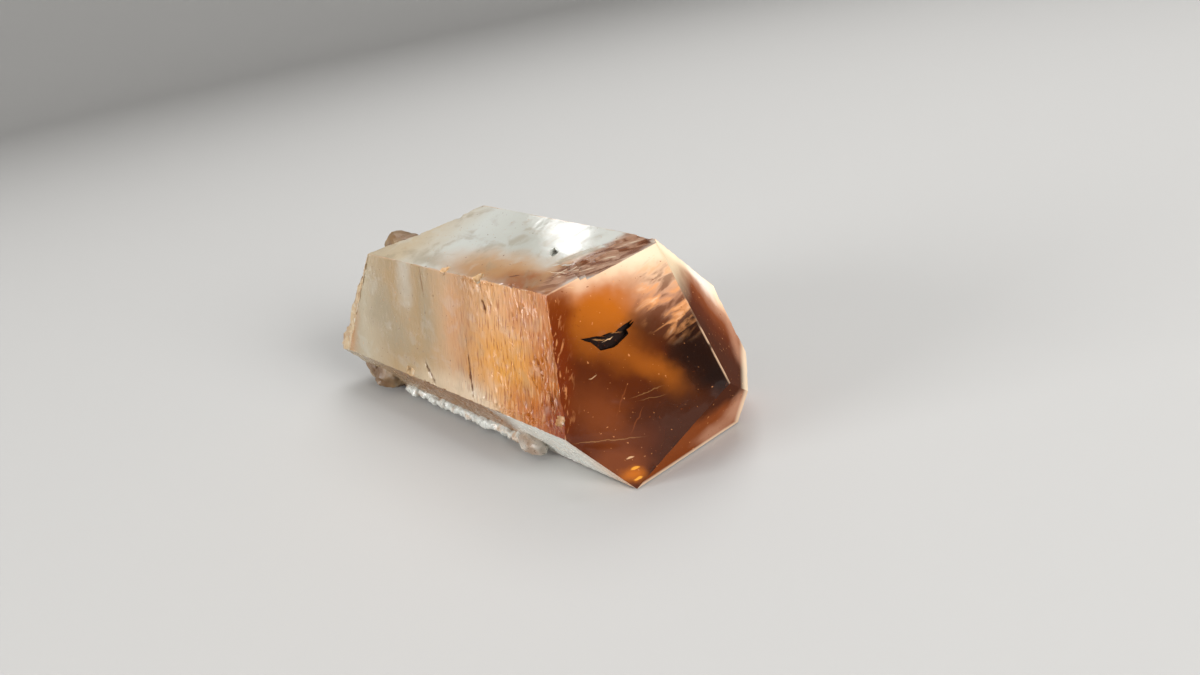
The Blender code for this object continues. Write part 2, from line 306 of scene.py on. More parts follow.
def rough_break(face, seed):
    """A block with an uneven, stepped underside that breaks off everything beyond a plane."""
    normal, along, across = face_axes(face)
    builder = bmesh.new()
    bmesh.ops.create_grid(
        builder, x_segments=BREAK_SQUARES, y_segments=BREAK_SQUARES, size=BREAK_SIZE / 2.0
    )
    shift = Vector([seed * part for part in BREAK_SHIFT])
    for vertex in builder.verts:
        spot = vertex.co / BREAK_GRAIN + shift
        ridges = abs(noise.noise(spot)) - RIDGE_LEVEL
        steps = noise.noise(spot * STEP_FINENESS + shift)
        vertex.co.z = BREAK_RELIEF * (RIDGES * ridges + STEPS * steps)
    made = bmesh.ops.extrude_face_region(builder, geom=builder.faces[:])
    for item in made["geom"]:
        if isinstance(item, bmesh.types.BMVert):
            item.co.z = BREAK_SIZE / 2.0
    frame = Matrix((along, across, normal)).transposed().to_4x4()
    frame.translation = normal * face[2]
    bmesh.ops.transform(builder, matrix=frame, verts=builder.verts)
    return object_from("rough_break", builder)


def flat_direction(seed, index):
    """One of a lump's flat sides, spread evenly and turned by the seed."""
    height = math.cos(index * FLAT_LEVELS + seed)
    turn = index * FLAT_TURNS + seed * FLAT_SHIFT
    level = math.sqrt(1.0 - height * height)
    return Vector((level * math.cos(turn), level * math.sin(turn), height))


def add_lump(builder, centre, sizes, roughness, divisions, seed, flats=0):
    """Puts a knobbly lump in the mesh builder, with flat sides if any are asked for."""
    shift = Vector((seed * LUMP_SHIFT[0], seed * LUMP_SHIFT[1], 0.5))
    made = bmesh.ops.create_icosphere(builder, subdivisions=divisions, radius=1.0)["verts"]
    for vertex in made:
        direction = vertex.co.normalized()
        swell = 1.0 + roughness * noise.noise(direction * LUMP_GRAIN + shift)
        vertex.co = direction * swell
    for index in range(flats):
        outward = flat_direction(seed, index)
        for vertex in made:
            vertex.co -= outward * max(0.0, vertex.co.dot(outward) - FLAT_AT)
    turn = Matrix.Rotation(seed * LUMP_TURN, 4, LUMP_AXIS)
    place = Matrix.Translation(centre) @ Matrix.Diagonal((*sizes, 1.0)) @ turn
    bmesh.ops.transform(builder, matrix=place, verts=made)


def lump(*values):
    """One lump as an object of its own."""
    builder = bmesh.new()
    add_lump(builder, *values)
    return object_from("lump", builder)


def break_and_carve(body):
    """Breaks the end off and cuts the ledges, pits and chips."""
    upper, front = FACES["upper"], FACES["front_tip"]
    cutters = [rough_break(face, seed) for seed, face in enumerate(ROUGH_BREAKS.values(), 1)]
    for seed, (outline, depth) in enumerate(LEDGES):
        cutters.append(recess(upper, jagged(outline, seed), depth, 1.0))
    cutters.append(recess(front, jagged(PIT_OUTLINE, PIT_TEETH), PIT_DEPTH, PIT_DRAFT))
    cutters.append(recess(upper, SMALL_PIT_OUTLINE, SMALL_PIT_DEPTH, SMALL_PIT_DRAFT))
    for seed, (centre, radius) in enumerate(CHIPS):
        cutters.append(lump(centre, (radius,) * 3, CHIP_ROUGHNESS, LUMP_DIVISIONS, seed))
    for cutter in cutters:
        combine(body, cutter, "DIFFERENCE")


def add_end_lumps(body):
    """Fuses the brown lumps to the broken end."""
    for seed, (centre, sizes, roughness) in enumerate(END_LUMPS, END_LUMP_SEED):
        combine(body, lump(centre, sizes, roughness, LUMP_DIVISIONS, seed, LUMP_FLATS), "UNION")


def look_of(middle, normal):
    """The name of the look that a face with this middle and normal takes."""
    depths = {name: FACES[name][2] - middle.dot(axes[0]) for name, axes in AXES.items()}
    for name, depth in depths.items():
        if abs(depth) < ON_FACE and normal.dot(AXES[name][0]) > SAME_WAY:
            return name
    _, along, across = AXES["front_tip"]
    offset = Vector((middle.dot(along), middle.dot(across))) - Vector(PIT_MIDDLE)
    if 0.0 < depths["front_tip"] < PIT_DEEP and offset.length < PIT_REACH:
        return "pit"
    if 0.0 < depths["upper"] < LEDGES_DEEP and middle.x > LEDGES_FROM:
        return "upper"
    return "broken"


def edge_measure(edge):
    """The edge's length in units of the fineness that it should have."""
    looks = {face.material_index for face in edge.link_faces}
    run = edge.verts[0].co - edge.verts[1].co
    if len(looks) > 1:
        return run.length / EDGE_FINENESS
    name = LOOKS[looks.pop()]
    if name not in AXES:
        return run.length / BROKEN_FINENESS
    fine_along, fine_across = FINENESS.get(name, PLAIN_FINENESS)
    _, along, across = AXES[name]
    return math.hypot(run.dot(along) / fine_along, run.dot(across) / fine_across)


def refine(builder):
    """Halves the long edges until every edge is as fine as its face needs."""
    for _ in range(REFINE_ROUNDS):
        long_edges = [edge for edge in builder.edges if edge_measure(edge) > TOO_LONG]
        if not long_edges:
            break
        bmesh.ops.subdivide_edges(builder, edges=long_edges, cuts=1, use_grid_fill=False)
        wide = [face for face in builder.faces if len(face.verts) > 3]
        bmesh.ops.triangulate(builder, faces=wide, quad_method="SHORT_EDGE", ngon_method="BEAUTY")


def line_depth(a, b, line):
    """How deep a crack or scratch is at a point of its face."""
    start, end, half_width, depth = line
    run = Vector(end) - Vector(start)
    offset = Vector((a, b)) - Vector(start)
    share = offset.dot(run) / run.length_squared
    if not -OVERRUN < share < 1.0 + OVERRUN:
        return 0.0
    wander = WANDER * noise.noise(Vector((a * WANDER_GRAIN, b * WANDER_GRAIN, 3.0)))
    side = abs(offset.x * run.y - offset.y * run.x) / run.length + wander * half_width
    taper = smooth(share, -OVERRUN, TAPER) * (1.0 - smooth(share, 1.0 - TAPER, 1.0 + OVERRUN))
    return depth * taper * max(0.0, 1.0 - side / half_width)


def face_noise(a, b, seed, waves_along, waves_across, shift):
    """Noise over a face, with its waves per mm towards the tip and across."""
    return noise.noise(Vector((a * waves_along, b * waves_across, seed + shift)))


def striae(a, b, seed, strength):
    """Fine grooves across a prism side, as a depth."""
    bent = a + WARP_SIZE * face_noise(a, b, seed, *STRIAE_WARP)
    cover = smooth(face_noise(a, b, seed, *STRIAE_PATCH), -PATCH_EDGE, PATCH_EDGE)
    patch = LEAST_PATCH + (1.0 - LEAST_PATCH) * cover
    cut = 0.0
    for waves_along, waves_across, shift, width, depth in STRIAE_LAYERS:
        ridge = abs(face_noise(bent, b, seed, waves_along, waves_across, shift))
        cut += depth * (1.0 - smooth(ridge, 0.0, width))
    return strength * patch * cut


def growth_step(a, b):
    """How much lower the striated side lies behind its growth step."""
    place = a + STEP_WAVE * math.sin(b * STEP_WAVE)
    return STEP_DEPTH * (1.0 - smooth(place, *STEP_END)) * smooth(b, *STEP_ACROSS)


def height_on(name, co):
    """How far a point of a flat face stands proud of its plane, mm."""
    _, along, across = AXES[name]
    a, b = co.dot(along), co.dot(across)
    if name == "resting":
        return 0.0
    if name == "striated":
        zone = LEAST_STRIAE + (1.0 - LEAST_STRIAE) * smooth(a, STRIAE_BEGIN, STRIAE_FULL)
        cracks = max(line_depth(a, b, line) for line in CRACKS)
        return -striae(a, b, 1.0, zone) - cracks - growth_step(a, b)
    if name in STRIATED_FACES:
        return -striae(a, b, 20.0 + len(name), FAINT_STRIAE)
    swell = SWELL_SIZE * noise.noise(Vector((a * SWELL_WAVES, b * SWELL_WAVES, len(name))))
    if name == "front_tip":
        away = math.hypot((a - GROOVED[0]) / GROOVED_SIZE[0], (b - GROOVED[1]) / GROOVED_SIZE[1])
        grooves = striae(a, b, 3.0, GROOVED_DEPTH * (1.0 - smooth(away, *GROOVED_EDGE)))
        return FRONT_SWELL * swell - grooves - max(line_depth(a, b, line) for line in SCRATCHES)
    return swell


def waves(co, height, fineness):
    """Noise of the given height and waves per mm."""
    return height * noise.noise(co * fineness)


def broken_height(co):
    """The fine relief of the broken end."""
    return waves(co, *BUMPS) + waves(co, *FINE_BUMPS) - abs(waves(co, *CREASES))


def nick(co, looks):
    """How deep an edge is nicked."""
    tips = sum(LOOKS[look].endswith("_tip") for look in looks)
    size = TIP_NICK if tips else PLAIN_NICK
    return sum(share * size * max(0.0, noise.noise(co * fine) - level) for fine, level, share in NICK_LAYERS)


def shift_of(vertex, looks):
    """The move that gives a vertex the heights of all the faces it belongs to."""
    normals, heights = [], []
    for look in looks:
        name = LOOKS[look]
        if name in AXES:
            normals.append(AXES[name][0])
            heights.append(height_on(name, vertex.co))
    rough = [face for face in vertex.link_faces if LOOKS[face.material_index] not in AXES]
    if rough:
        mean = sum((face.normal * face.calc_area() for face in rough), Vector())
        if mean.length > 0.0:
            normals.append(mean.normalized())
            share = EDGE_SHARE if heights else 1.0
            bumpy = LOOKS[rough[0].material_index] == "broken"
            heights.append(share * broken_height(vertex.co) if bumpy else 0.0)
    if not normals:
        return Vector((0.0, 0.0, 0.0))
    if len(normals) == 1:
        return normals[0] * heights[0]
    if LOOKS.index("resting") not in looks:
        chipped = nick(vertex.co, looks)
        heights = [height - chipped for height in heights]
    matrix = np.array([list(normal) for normal in normals])
    squares = matrix @ matrix.T + STEADYING * np.eye(len(normals))
    return Vector((matrix.T @ np.linalg.solve(squares, np.array(heights))).tolist())


def add_relief(builder):
    """Moves every vertex by the fine relief of its faces."""
    builder.normal_update()
    moves = []
    for vertex in builder.verts:
        looks = {face.material_index for face in vertex.link_faces}
        moves.append(shift_of(vertex, looks))
    for vertex, move in zip(builder.verts, moves):
        vertex.co += move
        vertex.co.z = max(vertex.co.z, 0.0)


def finish_mesh(thing, builder, sharp_degrees):
    """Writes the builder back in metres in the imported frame, smooth between its sharp edges."""
    bmesh.ops.translate(builder, verts=builder.verts, vec=CENTRING)
    bmesh.ops.scale(builder, vec=(MM, MM, MM), verts=builder.verts)
    builder.to_mesh(thing.data)
    builder.free()
    thing.data.polygons.foreach_set("use_smooth", [True] * len(thing.data.polygons))
    thing.data.set_sharp_from_angle(angle=math.radians(sharp_degrees))
    thing.data.update()


def make_crystal():
    """The crystal itself, in one mesh."""
    crystal = faceted_crystal()
    break_and_carve(crystal)
    add_end_lumps(crystal)
    builder = bmesh.new()
    builder.from_mesh(crystal.data)
    bmesh.ops.remove_doubles(builder, verts=builder.verts, dist=WELD)
    bmesh.ops.triangulate(builder, faces=builder.faces)
    builder.normal_update()
    for face in builder.faces:
        face.material_index = LOOKS.index(look_of(face.calc_center_median(), face.normal))
    refine(builder)
    add_relief(builder)
    finish_mesh(crystal, builder, CRYSTAL_SHARP)
    return crystal


def crust_place(rng, share, radius, loose):
    """The middle of a lump, or of a grain, which is loose, a share of the way along the edge."""
    normal, along, across = AXES["crusted"]
    foot = normal * FACES["crusted"][2]
    edge = -foot.z / across.z
    up = -across * math.copysign(1.0, -across.z)
    place = CRUST_FROM + (CRUST_TO - CRUST_FROM) * share
    swell = 0.5 + 0.5 * noise.noise(Vector((place * CRUST_WAVES, 1.0, 2.0)))
    highest, farthest = (least + more * swell for least, more in (LOOSE_UP, LOOSE_OUT))
    middle = foot + along * place + across * edge
    middle += up * (radius * rng.uniform(*CRUST_UP) + loose * rng.uniform(0.0, highest))
    middle += normal * (radius * rng.uniform(*CRUST_OUT) + loose * rng.uniform(-LOOSE_SUNK, farthest))
    middle.z = max(middle.z, radius * CRUST_CLEAR + CRUST_FLOOR)
    return middle


def make_crust():
    """The sugary crust and its ledge, small grains run together."""
    rng = random.Random(CRUST_SEED)
    builder = bmesh.new()
    for index in range(CRUST_LUMPS):
        share = (index + rng.uniform(-LUMP_UNEVEN, LUMP_UNEVEN)) / CRUST_LUMPS
        radius = rng.uniform(*LUMP_RADII)
        middle = crust_place(rng, share, radius, 0.0)
        long, thin = radius * rng.uniform(*LUMP_LENGTHS), radius * LUMP_THIN
        add_lump(builder, middle, (long, thin, thin), *LUMP_LOOK, index + LUMP_SEED, CRUST_FLATS)
    for index in range(CRUST_GRAINS):
        radius = rng.uniform(*GRAIN_RADII)
        middle = crust_place(rng, rng.random(), radius, 1.0)
        sizes = [radius * part for part in GRAIN_SHAPE]
        add_lump(builder, middle, sizes, *GRAIN_LOOK, index + GRAIN_SEED, CRUST_FLATS)
    add_lump(builder, *LEDGE_BLOCK, *BLOCK_LOOK, BLOCK_SEED, LUMP_FLATS)
    crust = object_from("sugary_crust", builder)
    modifier = crust.modifiers.new("fuse", "REMESH")
    modifier.mode = "VOXEL"
    modifier.voxel_size = CRUST_VOXEL
    apply(crust, modifier)
    builder = bmesh.new()
    builder.from_mesh(crust.data)
    finish_mesh(crust, builder, CRUST_SHARP)
    return crust


def srgb(red, green, blue):
    """A colour as it shows on a screen, 0 to 255, as linear red, green, blue and alpha."""
    linear = [((part / 255.0 + 0.055) / 1.055) ** 2.4 for part in (red, green, blue)]
    return (*linear, 1.0)


# Colours as they show on a screen
SCREEN_COLOURS = {
    "milk": (236, 238, 230), "pearl": (214, 214, 202), "cream": (250, 228, 196),
    "linen": (226, 206, 172), "bone": (206, 190, 160), "ash": (176, 160, 130), "clay": (150, 106, 62),
    "straw": (192, 160, 114), "buff": (204, 160, 130), "tan": (206, 152, 98), "mauve": (172, 126, 100),
    "bark": (104, 72, 36), "blush": (236, 196, 160), "honey": (168, 90, 22), "cinnamon": (118, 58, 24),
    "chestnut": (84, 34, 8), "sand": (222, 178, 132), "rose": (196, 142, 110),
    "apricot": (234, 158, 96), "peach": (252, 190, 128), "gold": (250, 170, 58),
    "amber": (206, 112, 24), "ember": (150, 56, 4), "rust": (108, 40, 6), "umber": (116, 54, 18),
    "smoke": (64, 28, 10), "soot": (26, 10, 3),
}
COLOURS = {name: srgb(*parts) for name, parts in SCREEN_COLOURS.items()}

# The colour along the crystal, as a distance towards the tip in mm and a colour: the whole
# crystal's, and that of each face which differs from it
BODY_COLOURS = [
    (-30.0, "bone"), (-14.0, "linen"), (-2.0, "sand"), (8.0, "apricot"), (20.0, "amber"), (28.0, "umber"),
]
FACE_COLOURS = {
    "striated": [
        (-31.0, "ash"), (-24.0, "bone"), (-16.0, "straw"), (-7.0, "straw"), (-1.0, "sand"), (3.0, "tan"),
        (8.0, "peach"), (12.0, "peach"), (16.0, "apricot"), (20.0, "amber"), (22.5, "ember"),
    ],
    "upper": [(-26.0, "bone"), (-14.0, "linen"), (-4.0, "milk"), (8.0, "pearl"), (18.0, "milk")],
    "rear": [(-30.0, "ash"), (-14.0, "bone"), (2.0, "straw"), (12.0, "tan"), (24.0, "clay")],
    "rear_upper": [(-28.0, "ash"), (-14.0, "straw"), (0.0, "straw"), (10.0, "tan"), (22.0, "clay")],
    "crusted": [
        # the milk from 11 to 20 mm is painted light: the bright bevel lit from behind
        (-32.0, "ash"), (-12.0, "clay"), (6.0, "clay"), (11.0, "milk"), (20.0, "milk"), (26.0, "blush"),
    ],
    "front_tip": [(-2.0, "rust"), (2.0, "chestnut"), (9.0, "chestnut"), (13.0, "smoke")],
    "upper_tip": [
        (-1.0, "cream"), (1.5, "blush"), (3.6, "mauve"), (6.0, "cinnamon"), (8.5, "chestnut"),
        (11.5, "smoke"),
    ],
    "lower_tip": [
        (10.0, "cinnamon"), (13.0, "umber"), (16.0, "cinnamon"), (18.5, "cinnamon"), (20.5, "smoke"),
    ],
}

# Soft marks on each face: colour, centre, half sizes, strength, and softness and turn in degrees
# where they are not 0.8 and 0
MARKS = {
    "striated": [
        ("milk", (-11.5, 17.5), (1.8, 3.6), 0.4, 0.9), ("ash", (-19.0, 12.0), (3.0, 4.0), 0.7),
        ("ash", (-14.5, 9.0), (3.0, 3.0), 0.6), ("tan", (-29.0, 7.0), (1.8, 5.0), 0.9, 0.8, -14.0),
        ("ash", (-6.2, 14.0), (1.4, 5.5), 0.5), ("apricot", (0.4, 13.0), (2.2, 5.0), 0.4),
        ("cream", (-3.5, 4.4), (7.5, 1.8), 0.6, 0.8, 5.0), ("cream", (4.8, 4.4), (4.4, 2.2), 0.8),
        ("apricot", (14.6, 17.0), (4.0, 2.4), 0.8, 0.7),
        ("gold", (9.6, 10.0), (5.0, 3.8), 0.85, 0.8, -10.0), ("gold", (15.0, 9.4), (4.2, 3.8), 0.8),
        ("amber", (15.4, 5.4), (4.0, 2.8), 0.9), ("amber", (18.8, 9.0), (3.0, 6.0), 0.85, 0.7),
        ("ember", (20.6, 5.0), (2.6, 3.0), 0.9),
    ],
    "upper": [
        ("ash", (-6.5, -1.4), (3.5, 0.9), 0.6, 0.8, 5.0), ("milk", (-1.0, 1.4), (4.0, 1.6), 0.7, 0.9, 10.0),
        ("sand", (7.0, 0.2), (9.5, 2.2), 0.85, 0.7, 4.0), ("tan", (8.0, -1.2), (8.0, 1.8), 0.9, 0.7, 4.0),
        ("honey", (14.4, -1.6), (4.8, 1.6), 0.85, 0.7, 12.0),
        ("honey", (17.4, -2.4), (3.4, 1.6), 0.95, 0.6, 12.0),
        ("tan", (18.4, 1.6), (3.8, 2.4), 0.9, 0.5, 50.0),
    ],
    "upper_tip": [
        ("linen", (5.4, -19.0), (4.0, 3.6), 0.8), ("milk", (1.6, -13.0), (1.7, 5.5), 0.9),
        ("mauve", (7.0, -1.6), (2.6, 1.8), 0.6), ("smoke", (14.6, -4.6), (3.0, 2.4), 0.8),
    ],
    "lower_tip": [
        ("mauve", (17.4, -5.4), (2.6, 1.8), 0.8), ("mauve", (14.4, -2.4), (1.6, 2.6), 0.7, 0.8, -20.0),
    ],
    "crusted": [
        ("umber", (-8.0, 5.0), (18.0, 1.2), 0.7, 0.5),
    ],
    "front_tip": [
        ("honey", (3.4, 16.8), (5.6, 4.4), 1.0, 0.65), ("amber", (3.6, 17.8), (2.6, 2.0), 0.4, 0.9),
        ("rose", (3.6, 20.7), (5.0, 2.3), 0.9, 0.7, 30.0),
        ("rose", (9.8, 19.0), (3.8, 3.2), 0.9, 0.7, -30.0),
        ("blush", (4.6, 21.5), (5.6, 1.9), 1.0, 0.6, 33.0), ("blush", (8.2, 21.4), (3.8, 2.6), 0.8, 0.7),
        ("cream", (7.6, 23.0), (4.2, 1.8), 0.8, 0.7, 25.0),
        ("rust", (-0.4, 13.0), (1.5, 4.5), 0.8, 0.7, 12.0),
        ("honey", (6.6, 10.9), (3.6, 1.5), 0.5, 0.95, -10.0),
        ("honey", (11.4, 9.6), (3.0, 1.3), 0.6, 0.95, -25.0),
        ("soot", (14.8, 12.8), (2.6, 3.6), 0.9, 0.7, 28.0), ("smoke", (9.3, 14.9), (2.2, 1.8), 0.85),
        ("soot", (17.4, 9.9), (2.2, 2.0), 0.95, 0.6, 60.0),
        ("cinnamon", (5.2, 4.2), (3.8, 2.2), 0.85, 0.9, -25.0), ("smoke", (10.4, 5.0), (2.4, 1.8), 0.7),
        ("smoke", (14.4, 6.6), (2.8, 1.6), 0.8, 0.8, 30.0),
        # the small amber mark at the lower corner is a painted glint
        ("cinnamon", (8.0, -0.8), (3.0, 1.8), 0.8, 0.5, 5.0), ("amber", (9.8, -2.2), (1.2, 0.9), 0.7, 0.9),
    ],
}
# Thin lines on each face: colour, start, end, half width, strength
LINES = {
    "striated": [
        ("clay", (-7.4, 20.2), (-6.6, 15.4), 0.16, 0.8), ("ash", (-6.6, 15.4), (-7.0, 10.6), 0.14, 0.7),
        ("umber", (-7.7, 6.5), (-5.5, 4.0), 0.20, 0.6), ("umber", (2.8, 10.4), (3.4, 4.1), 0.16, 0.85),
        ("umber", (6.5, 17.6), (7.4, 15.7), 0.18, 0.8), ("clay", (2.5, 12.8), (2.8, 10.7), 0.12, 0.7),
        ("umber", (21.0, 10.8), (21.3, 9.4), 0.10, 0.7),
    ],
    "upper": [
        ("umber", (10.8, -1.4), (12.6, -0.6), 0.12, 0.8), ("milk", (15.4, 1.6), (18.6, 3.0), 0.10, 0.9),
        ("cream", (15.8, 0.6), (19.4, 1.0), 0.10, 0.8), ("cream", (17.4, 0.0), (19.8, 3.4), 0.10, 0.8),
        ("clay", (-14.0, 5.2), (-13.0, 5.6), 0.2, 0.7),
    ],
    "front_tip": [
        # its sand and gold lines are painted glints, on small chips and at the lower corner
        ("clay", (2.0, 0.5), (10.8, 2.4), 0.08, 0.6), ("clay", (8.1, 6.4), (11.9, 8.4), 0.07, 0.5),
        ("clay", (9.0, 6.2), (12.4, 7.4), 0.06, 0.4), ("cinnamon", (6.9, 3.8), (7.7, 8.4), 0.09, 0.8),
        ("cinnamon", (8.6, 2.1), (9.9, 6.0), 0.08, 0.7), ("sand", (-0.6, 18.6), (0.5, 19.0), 0.10, 0.7),
        ("sand", (-0.2, 17.6), (0.8, 17.9), 0.08, 0.6), ("sand", (3.4, 8.0), (4.2, 8.6), 0.08, 0.6),
        ("sand", (8.6, -0.4), (9.6, -0.1), 0.12, 0.8), ("gold", (9.2, -1.6), (10.4, -1.2), 0.16, 0.8),
        ("gold", (9.8, -2.8), (10.8, -2.2), 0.20, 0.8),
    ],
    "pit": [
        ("clay", (3.2, 12.3), (4.9, 12.5), 0.09, 0.9), ("sand", (4.4, 12.1), (5.6, 12.9), 0.06, 0.9),
        ("clay", (5.2, 13.2), (6.6, 13.6), 0.07, 0.7),
    ],
}

# Zones of close lines or wisps: first colour, place as a mark's, turn of the lines, their noise,
# and the colours that it lays. The rough brown band that the ledges leave in the upper side:
BAND = (
    "buff", ((21.4, 4.6), (7.6, 2.2), 0.95, 0.3, 57.0), 35.0, ((0.35, 1.3, 1.0), 4.0, 0.8),
    [("umber", 0.40, 0.58, 0.85, 0.1), ("cream", 0.62, 0.67, 0.0, 0.8)],
)
# The cloudy golden veil in the front tip face:
VEIL = (
    None, ((10.8, 17.9), (2.8, 3.8), 1.0, 0.55, 46.0), 46.0, ((0.3, 0.95, 1.0), 4.0, 0.5),
    [("chestnut", 0.52, 0.36, 0.0, 0.65), ("apricot", 0.48, 0.62, 0.0, 0.7),
     ("cream", 0.58, 0.74, 0.0, 0.45)],
)
# The sliver of that face, along the striated side, that is striated too, its apricot lines painted glints:
SLIVER = (
    "rust", ((-0.2, 8.6), (1.4, 6.6), 0.8, 0.6, 12.0), 0.0, ((3.0, 0.7, 1.0), 3.0, 0.35),
    [("apricot", 0.54, 0.68, 0.0, 0.7)],
)
ZONES = {"upper": [BAND], "front_tip": [VEIL, SLIVER]}
# Where the striated sides have streaks of painted glints and darker lines, faint on all but one
STREAK_ZONE, STREAK_SOFTNESS, FAINT_STREAKS = ((14.0, 10.5), (11.0, 12.0)), 0.9, 0.4

# Noises: waves per mm in three directions, detail, distortion
CLOUD = ((0.3, 0.4, 0.4), 6.0, 0.4)
BODY_CLOUD, BODY_DRIFT = ((0.11, 0.16, 0.16), 3.0, 0.6), 7.0  # and how far it moves the colour, mm
SWELL = ((0.6, 0.3, 1.0), 3.0, 0.0)
STREAK_LINES = ((4.2, 0.45, 1.0), 3.0, 0.35)
SPECK_GRAIN = ((2.2, 2.2, 2.2), 2.0, 0.0)
NOISE_RANGE = (0.3, 0.7)  # where nearly all of a noise lies
MARKS_WOBBLE, LINES_WOBBLE = (0.28, 3.2), (1.1, 0.5)  # waves per mm and size, mm
# Colours that a noise lays over the rest: colour, low and high noise, cover at low and at high
CLOUD_SHADES = [("ash", 0.5, 0.72, 0.0, 1.0), ("milk", 0.46, 0.3, 0.0, 0.5)]
# The streaks: peach lines are painted glints on the striae, ember lines are darker ones between them
STREAK_GLINTS_AND_DARKS = [("peach", 0.55, 0.66, 0.0, 0.75), ("ember", 0.45, 0.34, 0.0, 0.75)]
# Specks: umber ones are dark spots, apricot ones are painted glints
DUST_AND_GLINT_SPECKS = [("umber", 0.70, 0.76, 0.0, 0.7), ("apricot", 0.30, 0.24, 0.0, 0.5)]
# The rough looks: their noises, the last of which is also their bumps, and what each one lays
ROUGH_LAYERS = {
    "broken": [
        (((0.3, 0.3, 0.3), 5.0, 0.8), [("clay", 0.45, 0.7, 0.0, 0.9)]),
        (((1.6, 1.6, 1.6), 5.0, 0.0), [("pearl", 0.52, 0.7, 0.0, 0.5)]),
    ],
    "pit": [(((1.6, 1.6, 1.6), 4.0, 0.0), [("umber", 0.6, 0.72, 0.0, 0.4)])],
    "crust": [
        (((0.3, 0.5, 0.5), 3.0, 0.0), [("sand", 0.5, 0.7, 0.0, 0.7)]),
        (((1.3, 1.3, 1.3), 4.0, 0.0), [("milk", 0.5, 0.65, 0.0, 0.8)]),
    ],
}
BROKEN_STRAW = 0.7  # how much straw colour covers the broken end
# Stains on its lumps and on the crust's block: reach in half sizes, then strength and softness
LUMP_STAIN_REACH, LUMP_STAIN, BLOCK_STAIN = 1.15, (0.95, 0.35), (0.8, 0.4)

# How clear or frosted each look is: least and greatest roughness
ROUGHNESS = {
    "striated": (0.14, 0.26), "upper": (0.05, 0.14), "rear_upper": (0.32, 0.46), "rear": (0.26, 0.40),
    "front_tip": (0.04, 0.10), "upper_tip": (0.10, 0.22), "lower_tip": (0.10, 0.25),
    "broken": (0.35, 0.60), "pit": (0.5, 0.8), "crust": (0.2, 0.45),
}
PLAIN_ROUGHNESS = (0.15, 0.30)
# How strongly each look mirrors its surroundings
SHINE = {
    "striated": 0.15, "rear_upper": 0.2, "rear": 0.2, "front_tip": 0.15, "upper_tip": 0.0,
    "lower_tip": 0.0, "pit": 0.1,
}
PLAIN_SHINE = 0.5
# How far each look's bumps rise, mm
BUMP_HEIGHTS = {"broken": 0.12, "pit": 0.10, "crust": 0.08, **dict.fromkeys(STRIATED_FACES, 0.10)}
PLAIN_BUMPS = 0.02
# How much the grey clouding covers each side
CLOUDING = {"striated": 0.3, "rear": 0.3, "rear_upper": 0.3, "crusted": 0.15}
PLAIN_CLOUDING = 0.5
# The wide pale rims of the tip's outer faces, a painted glow of light from behind: the faces they meet
# there, width, colour, strength
BACKLIT_RIM_GLOW = {
    "upper_tip": (("rear_tip", "rear_upper"), 1.3, "cream", 0.6),
    "lower_tip": (("resting", "rear_tip"), 0.8, "cream", 0.5),
}
# The edges that catch the light, as the faces on either side
EDGE_HIGHLIGHTS = {
    "upper": ("front_tip", "striated", "rear_upper"),
    "front_tip": ("upper", "upper_tip"),
    "upper_tip": ("front_tip", "rear_upper"),
    "striated": ("upper",),
    "rear_upper": ("upper", "upper_tip", "rear"),
    "rear": ("rear_upper",),
}
# The painted highlights along those edges: their width, and their colour over the cloud noise
EDGE_WIDTH, EDGE_HIGHLIGHT_SHADES = 0.20, [("blush", 0.42, 0.58, 0.1, 0.6)]  # mm, and as the noises' colours
RIM_FULL, LINE_EDGE = 0.2, (0.5, 1.1)  # where rims and lines fade, as shares of their width

# The stage, in metres, and its lights: direction, distance, size and power
FLOOR_RADIUS, SWEEP, WALL_HEIGHT, FLOOR_GAP = 0.9, 0.5, 1.2, 0.0002
SWEEP_STEPS, FLOOR_SIDES, FLOOR_WELD, FLOOR_ROUGHNESS = 12, 96, 1e-5, 0.9
FLOOR_COLOUR = srgb(184, 183, 181)
AIM = Vector((0.0, 0.0, 0.013))
LIGHTS = [
    ("key", (-0.15, 0.40, 0.90), 0.60, 0.37, 1.9), ("window", (-0.741, 0.323, 0.589), 0.42, 0.026, 0.013),
    ("left", (-0.35, -0.88, 0.20), 0.90, 0.51, 8.8), ("right", (0.90, 0.00, 0.34), 0.90, 0.39, 10.8),
]
WORLD_COLOUR = (1.0, 0.99, 0.97, 1.0)
WORLD_STRENGTH = 0.35

# How light goes through the crystal: the share that each look lets in, and what the inside takes
IOR = 1.544
TRANSMISSION = {
    "front_tip": 0.25, "upper_tip": 0.1, "lower_tip": 0.1, "crusted": 0.25, "broken": 0.2, "pit": 0.0,
    "crust": 0.4,
}
PLAIN_TRANSMISSION = 0.45
ABSORPTION_COLOUR = srgb(238, 190, 140)
ABSORPTION_DENSITY = 90.0


